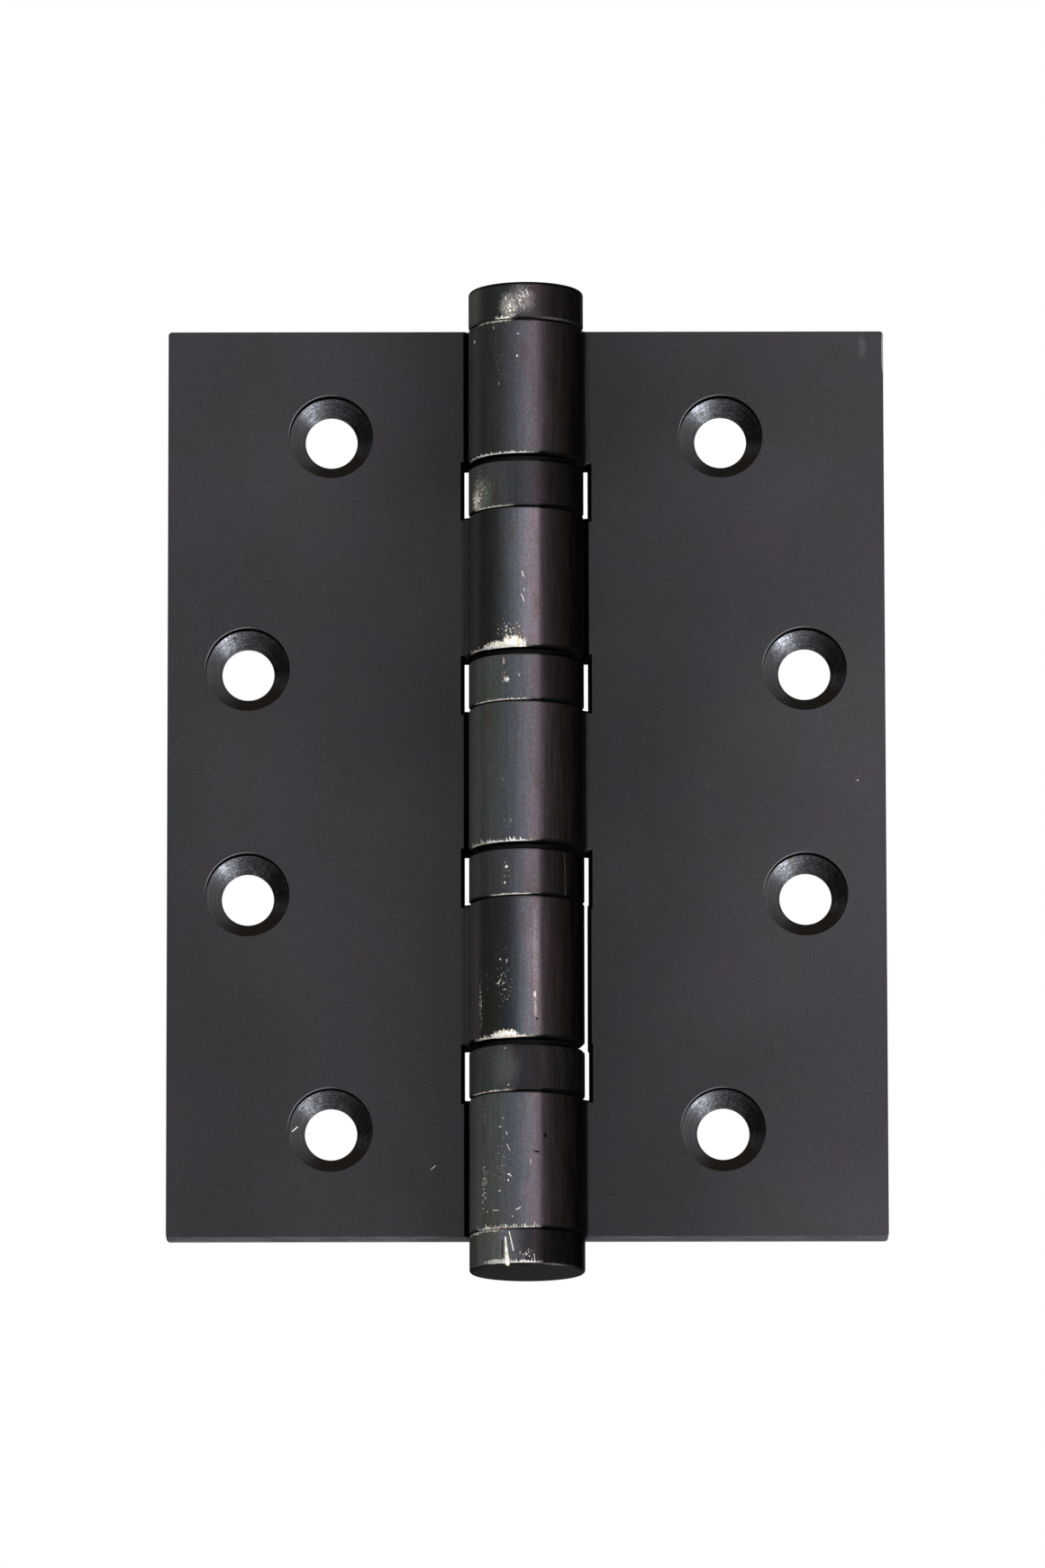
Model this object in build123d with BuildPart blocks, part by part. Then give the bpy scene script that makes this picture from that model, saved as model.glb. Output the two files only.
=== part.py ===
from build123d import *
import os

# Ball bearing butt hinge, opened flat.
# The pin stands along Z with its middle at the origin. The countersunk faces look towards -Y,
# the frame leaf reaches to +X and the door leaf to -X. All lengths are in millimetres.

# Leaves
leaf_height = 127.0
leaf_reach = 49.6  # pin axis to the outer edge
leaf_thickness = 4.75
leaf_setback = 1.0  # countersunk face behind the pin axis, half the gap between closed leaves
leaf_corner_radius = 0.5
leaf_edge_chamfer = 0.12

# Screw holes, two pairs in each leaf
screw_hole_diameter = 7.2
countersink_diameter = 11.6
countersink_angle = 90
countersink_mouth = 2.0  # straight wall above the cone
near_pair_reach = 27.0  # pin axis to the pair nearer the barrel
near_pair_spacing = 97.2
far_pair_reach = 38.5
far_pair_spacing = 31.6

# Barrel
barrel_diameter = 15.9
knuckle_wall = 3.9  # metal around the pin's bore
knuckle_count = 5
end_knuckle_height = 19.0  # top and bottom knuckle; the others share the rest evenly
knuckle_chamfer = 0.4
knuckle_root_radius = 1.2  # fillet between a knuckle and its own leaf
knuckle_relief = 0.25  # room in a leaf around the other leaf's knuckles
bearing_notch = 0.58  # room in both leaves beside each bearing
slot_relief = 0.42  # room where a leaf is slotted right through beside a knuckle
slotted_knuckle = 4  # counted from the top
gap_edge_chamfer = 0.55  # along all these gaps, on the countersunk face

# Pin and tips
pin_clearance = 0.05
pin_recess = 0.3  # pin end below the barrel's end
pin_chamfer = 0.4
tip_height = 5.2
tip_edge_radius = 0.5
tip_seat_chamfer = 0.25
stud_diameter = 5.0
stud_length = 6.5
stud_chamfer = 0.5
stud_clearance = 0.03
stud_end_room = 0.8  # bore left empty past the stud

# Thrust bearings
shell_wall = 0.8
shell_floor = 0.8
shell_chamfer = 0.3
shell_gap = 0.9  # open groove between a shell and the knuckle above it
lower_race_height = 2.4
upper_race_height = 2.7
race_chamfer = 0.25
race_pin_clearance = 0.2
race_seat_clearance = 0.02
race_running_clearance = 0.3
ball_count = 9
ball_diameter = 2.0
ball_clearance = 0.05
groove_depth = 0.3  # each race's groove
cage_height = 0.8
cage_clearance = 0.15
pocket_clearance = 0.08

# Radii, heights and places that follow from them
barrel_radius = barrel_diameter / 2
bore_radius = barrel_radius - knuckle_wall
pin_radius = bore_radius - pin_clearance
relief_radius = barrel_radius + knuckle_relief
notch_reach = barrel_radius + bearing_notch
slot_reach = barrel_radius + slot_relief
stub_reach = barrel_radius + 2 * knuckle_root_radius
stud_radius = stud_diameter / 2
shell_bore_radius = barrel_radius - shell_wall
race_bore_radius = pin_radius + race_pin_clearance
lower_race_radius = shell_bore_radius - race_seat_clearance
upper_race_radius = shell_bore_radius - race_running_clearance
cage_inner_radius = pin_radius + cage_clearance
cage_outer_radius = shell_bore_radius - cage_clearance
ball_ring_radius = (cage_inner_radius + cage_outer_radius) / 2
ball_radius = ball_diameter / 2
pocket_radius = ball_radius + pocket_clearance
groove_radius = ball_radius + ball_clearance
race_gap = 2 * (groove_radius - groove_depth)
bearing_height = shell_floor + lower_race_height + race_gap + upper_race_height
bearing_count = knuckle_count - 1
middle_knuckles_height = leaf_height - 2 * end_knuckle_height - bearing_count * bearing_height
middle_knuckle_height = middle_knuckles_height / (knuckle_count - 2)
barrel_top = leaf_height / 2
knuckle_heights = [end_knuckle_height] + [middle_knuckle_height] * (knuckle_count - 2) + [end_knuckle_height]
knuckle_feet = [barrel_top - sum(knuckle_heights[: i + 1]) - i * bearing_height for i in range(knuckle_count)]
knuckles = list(zip(knuckle_feet, knuckle_heights))
bearing_seats = [foot - bearing_height for foot in knuckle_feet[:-1]]

countersunk_face = Plane(origin=(0, leaf_setback, 0), x_dir=(1, 0, 0), z_dir=(0, -1, 0))
top_seat = Plane(origin=(0, 0, barrel_top), z_dir=(0, 0, 1))
bottom_seat = Plane(origin=(0, 0, -barrel_top), z_dir=(0, 0, -1))

os.makedirs("parts", exist_ok=True)

# The frame leaf carries the odd knuckles counted from the top, the door leaf the even ones.
for leaf_name, outward, first_knuckle in (("frame_leaf", Axis.X, 0), ("door_leaf", -Axis.X, 1)):
    side = outward.direction.X
    own_knuckles = knuckles[first_knuckle::2]
    other_knuckles = knuckles[1 - first_knuckle :: 2]
    hole_centres = [
        (side * reach, row * spacing / 2)
        for reach, spacing in ((near_pair_reach, near_pair_spacing), (far_pair_reach, far_pair_spacing))
        for row in (1, -1)
    ]

    # Knuckles with a stub of the plate and a fillet at its root
    with BuildPart() as barrel:
        for foot, height in own_knuckles:
            with BuildSketch(Plane.XY.offset(foot)) as section:
                with Locations((side * stub_reach / 2, leaf_setback)):
                    Rectangle(stub_reach, leaf_thickness, align=(Align.CENTER, Align.MIN))
                Circle(barrel_radius)
                fillet(section.vertices().sort_by(outward)[:2], knuckle_root_radius)
            extrude(amount=height)
        ends = barrel.faces().filter_by(Axis.Z).edges()
        chamfer(ends - ends.group_by(outward)[-1], knuckle_chamfer)

    with BuildPart() as leaf:
        # Plate with eased outer corners and edges
        with BuildSketch(countersunk_face) as plate:
            with Locations((side * leaf_reach / 2, 0)):
                Rectangle(leaf_reach, leaf_height)
            fillet(plate.vertices().group_by(outward)[-1], leaf_corner_radius)
        extrude(amount=-leaf_thickness)
        outline = leaf.faces().filter_by(Axis.Y).edges()
        chamfer(outline - outline.group_by(outward)[0], leaf_edge_chamfer)

        # Round relief for the other leaf's knuckles, or a slot, and square notches beside the bearings
        for foot, height in other_knuckles:
            with BuildSketch(Plane.XY.offset(foot)):
                if foot == knuckle_feet[slotted_knuckle - 1]:
                    Rectangle(2 * slot_reach, 2 * slot_reach)
                else:
                    Circle(relief_radius)
            extrude(amount=height, mode=Mode.SUBTRACT)
        for seat in bearing_seats:
            with BuildSketch(Plane.XY.offset(seat)):
                Rectangle(2 * notch_reach, 2 * notch_reach)
            extrude(amount=bearing_height, mode=Mode.SUBTRACT)
        face_edges = leaf.faces().sort_by(Axis.Y)[0].edges()
        chamfer(face_edges.filter_by_position(Axis.X, -stub_reach, stub_reach), gap_edge_chamfer)

        # Knuckles, bored for the pin
        add(barrel.part)
        with BuildSketch():
            Circle(bore_radius)
        extrude(amount=barrel_top, both=True, mode=Mode.SUBTRACT)

        # Countersunk screw holes
        with Locations(countersunk_face.offset(-countersink_mouth)):
            with Locations(*hole_centres):
                CounterSinkHole(
                    radius=screw_hole_diameter / 2,
                    counter_sink_radius=countersink_diameter / 2,
                    counter_sink_angle=countersink_angle,
                )
    leaf.part.label = leaf_name
    export_step(leaf.part, f"parts/{leaf_name}.step")

# Plain pin, bored at both ends for the tips' studs
with BuildPart() as hinge_pin:
    with BuildSketch():
        Circle(pin_radius)
    extrude(amount=barrel_top - pin_recess, both=True)
    chamfer(hinge_pin.edges().filter_by(GeomType.CIRCLE), pin_chamfer)
    with BuildSketch(top_seat, bottom_seat):
        Circle(stud_radius + stud_clearance)
    extrude(amount=-(stud_length + stud_end_room), mode=Mode.SUBTRACT)
hinge_pin.part.label = "hinge_pin"
export_step(hinge_pin.part, "parts/hinge_pin.step")

# Button tips of the barrel's diameter, each with a stud in the pin's end
for tip_name, seat_plane in (("top_tip", top_seat), ("bottom_tip", bottom_seat)):
    away = Axis(seat_plane.origin, seat_plane.z_dir)
    with BuildPart() as tip:
        with BuildSketch(seat_plane):
            Circle(barrel_radius)
        extrude(amount=tip_height)
        rims = tip.edges().filter_by(GeomType.CIRCLE).sort_by(away)
        chamfer(rims[0], tip_seat_chamfer)
        fillet(rims[-1], tip_edge_radius)
        with BuildSketch(seat_plane):
            Circle(stud_radius)
        extrude(amount=-stud_length)
        chamfer(tip.edges().filter_by(GeomType.CIRCLE).sort_by(away)[0], stud_chamfer)
    tip.part.label = tip_name
    export_step(tip.part, f"parts/{tip_name}.step")

# One thrust bearing in each space between two knuckles, standing on the lower knuckle
for number, seat in enumerate(bearing_seats, start=1):
    race_foot = seat + shell_floor
    ball_level = race_foot + lower_race_height + race_gap / 2
    bearing_top = seat + bearing_height
    shell_top = bearing_top - shell_gap

    # Cup of the barrel's diameter
    with BuildPart() as shell:
        with BuildSketch(Plane.XZ) as cup:
            with Locations((race_bore_radius, seat)):
                Rectangle(barrel_radius - race_bore_radius, shell_top - seat, align=Align.MIN)
            chamfer(cup.vertices().group_by(Axis.X)[-1], shell_chamfer)
            with Locations((race_bore_radius, race_foot)):
                Rectangle(
                    shell_bore_radius - race_bore_radius,
                    shell_top - race_foot,
                    align=Align.MIN,
                    mode=Mode.SUBTRACT,
                )
        revolve(axis=Axis.Z)
    shell.part.label = f"bearing_{number}_shell"
    export_step(shell.part, f"parts/bearing_{number}_shell.step")

    # Lower race, on the cup's floor
    with BuildPart() as lower_race:
        with BuildSketch(Plane.XZ) as lower_profile:
            with Locations((race_bore_radius, race_foot)):
                Rectangle(lower_race_radius - race_bore_radius, lower_race_height, align=Align.MIN)
            chamfer(lower_profile.vertices(), race_chamfer)
            with Locations((ball_ring_radius, ball_level)):
                Circle(groove_radius, mode=Mode.SUBTRACT)
        revolve(axis=Axis.Z)
    lower_race.part.label = f"bearing_{number}_lower_race"
    export_step(lower_race.part, f"parts/bearing_{number}_lower_race.step")

    # Upper race, under the upper knuckle and turning inside the cup
    with BuildPart() as upper_race:
        with BuildSketch(Plane.XZ) as upper_profile:
            with Locations((race_bore_radius, bearing_top - upper_race_height)):
                Rectangle(upper_race_radius - race_bore_radius, upper_race_height, align=Align.MIN)
            chamfer(upper_profile.vertices(), race_chamfer)
            with Locations((ball_ring_radius, ball_level)):
                Circle(groove_radius, mode=Mode.SUBTRACT)
        revolve(axis=Axis.Z)
    upper_race.part.label = f"bearing_{number}_upper_race"
    export_step(upper_race.part, f"parts/bearing_{number}_upper_race.step")

    # Flat cage with a round pocket for each ball
    with BuildPart() as cage:
        with BuildSketch(Plane.XY.offset(ball_level)):
            Circle(cage_outer_radius)
            Circle(cage_inner_radius, mode=Mode.SUBTRACT)
            with PolarLocations(ball_ring_radius, ball_count):
                Circle(pocket_radius, mode=Mode.SUBTRACT)
        extrude(amount=cage_height / 2, both=True)
    cage.part.label = f"bearing_{number}_cage"
    export_step(cage.part, f"parts/bearing_{number}_cage.step")

    # Ring of balls
    with BuildPart() as balls:
        with Locations(Plane.XY.offset(ball_level)):
            with PolarLocations(ball_ring_radius, ball_count):
                Sphere(ball_radius)
    balls.part.label = f"bearing_{number}_balls"
    export_step(balls.part, f"parts/bearing_{number}_balls.step")
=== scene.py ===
"""Dresses a ball bearing butt hinge: dark oxidised brass, rubbed bright along its edges, on white."""

import logging
import math
from dataclasses import dataclass
from enum import Enum
from functools import cached_property, reduce
from typing import Dict, Iterable, Optional, Sequence, Tuple, Union

import bpy
import numpy as np
from mathutils import Matrix, Vector


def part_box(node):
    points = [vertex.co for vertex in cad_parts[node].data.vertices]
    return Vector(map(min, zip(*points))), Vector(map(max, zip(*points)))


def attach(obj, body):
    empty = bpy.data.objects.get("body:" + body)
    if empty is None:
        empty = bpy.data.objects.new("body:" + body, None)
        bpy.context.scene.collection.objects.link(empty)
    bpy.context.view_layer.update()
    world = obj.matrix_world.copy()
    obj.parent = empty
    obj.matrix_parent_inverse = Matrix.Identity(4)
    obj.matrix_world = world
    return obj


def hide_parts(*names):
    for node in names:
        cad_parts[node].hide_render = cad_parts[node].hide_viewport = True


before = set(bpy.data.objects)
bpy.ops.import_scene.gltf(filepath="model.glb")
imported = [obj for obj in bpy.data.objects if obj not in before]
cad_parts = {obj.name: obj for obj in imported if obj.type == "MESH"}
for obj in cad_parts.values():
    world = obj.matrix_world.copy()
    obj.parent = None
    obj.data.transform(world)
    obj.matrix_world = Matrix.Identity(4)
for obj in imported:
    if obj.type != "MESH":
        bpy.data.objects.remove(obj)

log = logging.getLogger("hinge")

MM = 0.001
MM_PER_M = 1000.0
FULL_TURN = 2.0 * math.pi
FULL_TURN_DEG = 360.0
NOISE_LOW, NOISE_MEAN, NOISE_HIGH = 0.3, 0.5, 0.7
BARREL_RADIUS_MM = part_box("bearing_1_shell")[1].x * MM_PER_M
BARREL_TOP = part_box("frame_leaf")[1].z
BARREL_TOP_MM = BARREL_TOP * MM_PER_M
LEAF_REACH_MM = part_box("frame_leaf")[1].x * MM_PER_M

Colour = Tuple[float, float, float, float]
Triple = Tuple[float, float, float]
Span = Tuple[float, float]
Value = Union[float, "Field"]
Tint = Union[Colour, "Field"]
Inputs = Dict[Union[str, int], object]


def colour(red: float, green: float, blue: float) -> Colour:
    """A colour in linear light, with full alpha."""
    return (red, green, blue, 1.0)


class Field:
    """A value that changes over the surface: one node's output. Its sums and comparisons add nodes."""

    def __init__(self, graph: "FinishGraph", socket: bpy.types.NodeSocket) -> None:
        """Holds an output of a node in a graph."""
        self.graph = graph
        self.socket = socket

    def other(self, output: Union[int, str]) -> "Field":
        """Another output of the same node."""
        return Field(self.graph, self.socket.node.outputs[output])

    def __add__(self, value: Value) -> "Field":
        """This plus a value."""
        return self.graph.math("ADD", self, value)

    def __sub__(self, value: Value) -> "Field":
        """This less a value."""
        return self.graph.math("SUBTRACT", self, value)

    def __rsub__(self, value: float) -> "Field":
        """A number less this."""
        return self.graph.math("SUBTRACT", value, self)

    def __mul__(self, value: Value) -> "Field":
        """This times a value."""
        return self.graph.math("MULTIPLY", self, value)

    def __truediv__(self, value: Value) -> "Field":
        """This divided by a value."""
        return self.graph.math("DIVIDE", self, value)

    def __gt__(self, value: Value) -> "Field":
        """1 where this is above a value, else 0."""
        return self.graph.math("GREATER_THAN", self, value)

    def __lt__(self, value: Value) -> "Field":
        """1 where this is below a value, else 0."""
        return self.graph.math("LESS_THAN", self, value)

    def __abs__(self) -> "Field":
        """This without its sign."""
        return self.graph.math("ABSOLUTE", self)

    def ease(self, low: float, high: float, start: float = 0.0, end: float = 1.0) -> "Field":
        """A smooth step.

        Args:
            low: where the step starts; it may lie above `high`.
            high: where the step ends.
            start: the result at `low`.
            end: the result at `high`.
        Returns:
            The stepped value.
        """
        if low > high:
            low, high, start, end = high, low, end, start
        inputs = {"Value": self, "From Min": low, "From Max": high, "To Min": start, "To Max": end}
        return self.graph.add("MapRange", inputs, interpolation_type="SMOOTHSTEP")

    def spread(self, start: float, end: float) -> "Field":
        """A noise's usual range, laid out from one value to another."""
        return self.ease(NOISE_LOW, NOISE_HIGH, start, end)


@dataclass
class Layer:
    """What one finish gives the shader: colour, roughness, metal share and relief in millimetres."""

    colour: Tint
    roughness: Value
    metallic: Value
    relief_mm: Value


@dataclass
class Place:
    """Where a shaded point lies: millimetres in the hinge's frame, its angle round the pin, and how it faces.

    The slope is 0 on an upright wall and 1 on a level face. `front` is 1 to the front and -1 to the back.
    """

    point: Field
    x: Field
    y: Field
    z: Field
    radius: Field
    angle_deg: Field
    slope: Field
    front: Field


class FinishGraph:
    """A material's node tree, with a short method for each kind of node that the finishes use."""

    def __init__(self, name: str) -> None:
        """Starts a material with one Principled shader.

        Args:
            name: the material's name.
        """
        self.material = bpy.data.materials.new(name)
        self.material.use_nodes = True
        self.nodes = self.material.node_tree.nodes
        self.links = self.material.node_tree.links
        self.nodes.clear()
        output = self.nodes.new("ShaderNodeOutputMaterial")
        self.shader = self.nodes.new("ShaderNodeBsdfPrincipled")
        self.links.new(self.shader.outputs["BSDF"], output.inputs["Surface"])

    def feed(self, node: bpy.types.Node, inputs: Inputs) -> None:
        """Links a node's inputs to fields, or sets their plain values.

        Args:
            node: the node.
            inputs: fields, numbers, colours or vectors by input name or number.
        """
        for key, value in inputs.items():
            if isinstance(value, Field):
                self.links.new(value.socket, node.inputs[key])
            else:
                node.inputs[key].default_value = value

    def add(self, kind: str, inputs: Inputs, output: Union[int, str] = 0, **settings: str) -> Field:
        """Adds a node.

        Args:
            kind: Blender's name of the node's type, without the "ShaderNode" before it.
            inputs: what it is fed, by input name or number.
            output: which of its outputs is wanted.
            settings: the node's own properties.
        Returns:
            That output.
        """
        node = self.nodes.new(f"ShaderNode{kind}")
        for key, value in settings.items():
            setattr(node, key, value)
        self.feed(node, inputs)
        return Field(self, node.outputs[output])

    def math(self, operation: str, first: Value, second: Value = 0.0) -> Field:
        """One step of arithmetic on one or two values."""
        return self.add("Math", {0: first, 1: second}, operation=operation)

    def highest(self, values: Iterable[Value]) -> Value:
        """The highest of several values and 0, joined one by one so that few of them are held at a time."""
        return reduce(lambda a, b: self.math("MAXIMUM", a, b), values, 0.0)

    def vector(self, x: Value, y: Value, z: Value) -> Field:
        """Three values as one vector."""
        return self.add("CombineXYZ", {0: x, 1: y, 2: z})

    def stretch(self, point: Field, x: float, y: float, z: float) -> Field:
        """A point with each of its axes multiplied."""
        return self.add("VectorMath", {0: point, 1: (x, y, z)}, operation="MULTIPLY")

    def offset(self, point: Field, origin: Union[Triple, Vector]) -> Field:
        """A point as seen from an origin."""
        return self.add("VectorMath", {0: point, 1: origin}, operation="SUBTRACT")

    def length(self, vector: Field) -> Field:
        """A vector's length."""
        return self.add("VectorMath", {0: vector}, "Value", operation="LENGTH")

    def dot(self, vector: Field, other: Union[Triple, Vector]) -> Field:
        """The dot product of two vectors."""
        return self.add("VectorMath", {0: vector, 1: other}, "Value", operation="DOT_PRODUCT")

    def noise(self, scale: float, detail: float = 3.0, roughness: float = 0.55, point: Optional[Field] = None,
              stretch: Optional[Triple] = None) -> Field:
        """Cloudy noise.

        Args:
            scale: waves per millimetre, about.
            detail: how many finer waves are added.
            roughness: how strong the finer ones are.
            point: where it is read, else at the shaded point.
            stretch: a factor on each axis.
        Returns:
            From 0 to 1, about 0.5 in the mean.
        """
        where = self._read(point, stretch)
        inputs = {"Vector": where, "Scale": scale, "Detail": detail, "Roughness": roughness}
        return self.add("TexNoise", inputs)

    def specks(self, scale: float, size: float, share: float, stretch: Optional[Triple] = None) -> Field:
        """Small round dots, one in some of the cells of a random division of space.

        Args:
            scale: cells per millimetre.
            size: a dot's radius as a share of a cell.
            share: how many of the cells hold a dot, from 0 to 1.
            stretch: a factor on each axis.
        Returns:
            1 in a dot and 0 elsewhere.
        """
        cells = self.add("TexVoronoi", {"Vector": self._read(None, stretch), "Scale": scale}, "Distance")
        chosen = self.add("SeparateColor", {0: cells.other("Color")})
        return (chosen < share) * (cells < chosen.other(1) * size)

    def _read(self, point: Optional[Field], stretch: Optional[Triple]) -> Field:
        """Where a pattern is read: a point or else the shaded one, stretched if that is asked."""
        point = self.place.point if point is None else point
        return self.stretch(point, *stretch) if stretch else point

    def mix(self, share: Value, first: Tint, second: Tint) -> Field:
        """A colour between two, `second` at a share of 1."""
        return self.add("Mix", {0: share, 6: first, 7: second}, 2, data_type="RGBA")

    def mix_value(self, share: Value, first: Value, second: Value) -> Field:
        """A number between two, `second` at a share of 1."""
        return self.add("Mix", {0: share, 2: first, 3: second}, data_type="FLOAT")

    def shade(self, tint: Tint, factor: Value) -> Field:
        """A colour made lighter or darker by a factor."""
        plain = tint[:3] if isinstance(tint, tuple) else tint
        return self.add("VectorMath", {0: plain, "Scale": factor}, operation="SCALE")

    def lay(self, share: Value, under: Layer, over: Layer) -> Layer:
        """One finish over another.

        Args:
            share: 0 where only the lower one shows, 1 where only the upper one does.
            under: the lower finish.
            over: the upper finish.
        Returns:
            The two as one layer.
        """
        return Layer(
            self.mix(share, under.colour, over.colour),
            self.mix_value(share, under.roughness, over.roughness),
            self.mix_value(share, under.metallic, over.metallic),
            self.mix_value(share, under.relief_mm, over.relief_mm),
        )

    @cached_property
    def place(self) -> Place:
        """Where the shaded point lies.

        The angle is that of (x, -y) round the pin axis, so 0 is the front and the jump from 180 to -180
        degrees is at the back.

        Returns:
            The point's measures.
        """
        source = self.add("TexCoord", {}, "Object")
        point = self.stretch(source, MM_PER_M, MM_PER_M, MM_PER_M)
        x = self.add("SeparateXYZ", {0: point})
        y, z = x.other(1), x.other(2)
        radius = self.length(self.vector(x, y, 0.0))
        angle = self.math("DEGREES", self.math("ARCTAN2", x, y * -1.0))
        slope = abs(self.dot(source.other("Normal"), (0.0, 0.0, 1.0)))
        front = self.dot(source.other("Normal"), (0.0, -1.0, 0.0))
        return Place(point, x, y, z, radius, angle, slope, front)

    def finish(self, layer: Layer, edge_level: float = 1.0) -> bpy.types.Material:
        """Feeds a layer to the shader.

        Args:
            layer: the whole finish.
            edge_level: how much of the metal's extra shine at a glancing view is left.
        Returns:
            The material.
        """
        self.feed(self.shader, {
            "Specular Tint": colour(edge_level, edge_level, edge_level),
            "Specular IOR Level": 0.0,
            "Base Color": layer.colour,
            "Roughness": layer.roughness,
            "Metallic": layer.metallic,
            "Normal": self.add("Bump", {"Height": layer.relief_mm, "Distance": MM}),
        })
        return self.material

    def glow(self, tint: Tint, level: float) -> None:
        """Makes the material a lit card.

        Args:
            tint: the light's colour.
            level: its strength.
        """
        black = colour(0.0, 0.0, 0.0)
        unlit = {"Base Color": black, "Specular IOR Level": 0.0}
        self.feed(self.shader, {**unlit, "Emission Color": tint, "Emission Strength": level})


class Ground(Enum):
    """What marks lie on, and so what their `across` measures."""

    BARREL = "degrees round the barrel, 0 at the front and positive to the right"
    PLATE = "millimetres from the pin axis"


class Edge(Enum):
    """Which way the metal lies from a round edge."""

    METAL_ABOVE = 1.0
    METAL_BELOW = -1.0


@dataclass
class Unrolled:
    """A surface laid out flat for its marks: millimetres, and noises that break the outlines."""

    graph: FinishGraph
    mm_across: float
    flat: Field
    torn: Field
    fine: Field
    fibres: Field

    @classmethod
    def of(cls, graph: FinishGraph, ground: Ground) -> "Unrolled":
        """Lays a surface out.

        Args:
            graph: the material it goes into.
            ground: what the marks lie on.
        Returns:
            The surface.
        """
        on_barrel = ground is Ground.BARREL
        mm_across = math.radians(1.0) * BARREL_RADIUS_MM if on_barrel else 1.0
        across = graph.place.angle_deg * mm_across if on_barrel else graph.place.x
        flat = graph.vector(across, 0.0, graph.place.z)
        torn = graph.noise(1.0, 5.0, 0.75, flat, (2.2, 1.0, 1.1))
        fine = graph.noise(3.4, 2.0, point=flat)
        fibres = graph.noise(1.0, 1.0, point=flat, stretch=(4.5, 1.0, 0.4))
        return cls(graph, mm_across, flat, torn, fine, fibres)


@dataclass(frozen=True)
class Patch:
    """A ragged or speckled ellipse. With a `cover` below 1 only scattered specks of it are left."""

    across: float
    height_mm: float
    half_width_mm: float
    half_height_mm: float
    strength: float = 1.0
    ragged: float = 0.5
    speckled: float = 0.0
    cover: float = 1.0
    softness: float = 0.12
    noise_gain: float = 4.0

    def mask(self, on: Unrolled) -> Field:
        """The distance from the centre in half sizes, moved by two noises and cut steeply at the cover.

        Args:
            on: the surface it lies on.
        Returns:
            The strength inside, 0 outside.
        """
        offset = on.graph.offset(on.flat, (self.across * on.mm_across, 0.0, self.height_mm))
        scaled = on.graph.stretch(offset, 1.0 / self.half_width_mm, 1.0, 1.0 / self.half_height_mm)
        away = on.graph.length(scaled)
        for noise, amount in ((on.torn, self.ragged), (on.fine, self.speckled)):
            if amount:
                away = away + (noise - NOISE_MEAN) * (self.noise_gain * amount)
        return away.ease(self.cover + self.softness, self.cover - self.softness, 0.0, self.strength)


@dataclass(frozen=True)
class Rim:
    """A line of bare metal along a round edge of the barrel, strongest at one angle and fading beside it."""

    height_mm: float
    angle_deg: float
    half_angle_deg: float
    reach_mm: float = 0.34
    edge: Edge = Edge.METAL_ABOVE
    strength: float = 1.0
    start_mm: float = 0.06
    flare_mm: float = 0.0
    soft_mm: float = 0.04
    longest_reach: float = 1.4
    full_window: float = 0.45

    def mask(self, on: Unrolled) -> Field:
        """From the start to an uneven, fibrous reach into the metal, times a smooth window in angle.

        Args:
            on: the surface it lies on.
        Returns:
            The strength on the line, 0 elsewhere.
        """
        at = on.graph.place
        inward = (at.z - self.height_mm) * self.edge.value
        uneven = on.torn.ease(0.3, 0.75, self.start_mm + self.soft_mm, self.longest_reach * self.reach_mm)
        reach = uneven + on.fibres.ease(0.52, 0.78, 0.0, self.flare_mm)
        worn = (reach - inward).ease(0.0, 2.0 * self.soft_mm)
        turned = abs(at.angle_deg - self.angle_deg)
        window = turned.ease(self.half_angle_deg, self.full_window * self.half_angle_deg, 0.0, self.strength)
        return worn * window * inward.ease(self.start_mm - self.soft_mm, self.start_mm + self.soft_mm)


@dataclass(frozen=True)
class Scratch:
    """A straight scratch from one place to another, whose width may change on its way by `taper`."""

    start_across: float
    start_height_mm: float
    end_across: float
    end_height_mm: float
    half_width_mm: float = 0.07
    strength: float = 1.0
    taper: float = 1.0

    def mask(self, on: Unrolled) -> Field:
        """The distance to the segment between its ends, against the half width there.

        Args:
            on: the surface it lies on.
        Returns:
            The strength in the scratch, 0 outside.
        """
        graph = on.graph
        start = Vector((self.start_across * on.mm_across, 0.0, self.start_height_mm))
        run = Vector((self.end_across * on.mm_across, 0.0, self.end_height_mm)) - start
        offset = graph.offset(on.flat, start)
        share = graph.add("Clamp", {0: graph.dot(offset, run / run.length_squared)})
        foot = graph.add("VectorMath", {0: run, "Scale": share}, operation="SCALE")
        away = graph.add("VectorMath", {0: offset, 1: foot}, "Value", operation="DISTANCE")
        half = graph.mix_value(share, self.half_width_mm, self.half_width_mm * self.taper)
        return (away / half).ease(1.0, 0.5, 0.0, self.strength)


@dataclass(frozen=True)
class Wear:
    """All the marks that one piece carries: patches, rims and scratches of bare metal, and dark pits."""

    patches: Sequence[Patch] = ()
    rims: Sequence[Rim] = ()
    scratches: Sequence[Scratch] = ()
    pits: Sequence[Patch] = ()

    def bare(self, on: Unrolled) -> Value:
        """1 on bare metal, 0 on whole film."""
        return on.graph.highest(mark.mask(on) for mark in (*self.patches, *self.rims, *self.scratches))

    def dark(self, on: Unrolled) -> Value:
        """1 in a pit, 0 elsewhere."""
        return on.graph.highest(pit.mask(on) for pit in self.pits)

    def count(self) -> int:
        """How many marks there are."""
        return len(self.patches) + len(self.rims) + len(self.scratches) + len(self.pits)


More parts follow.
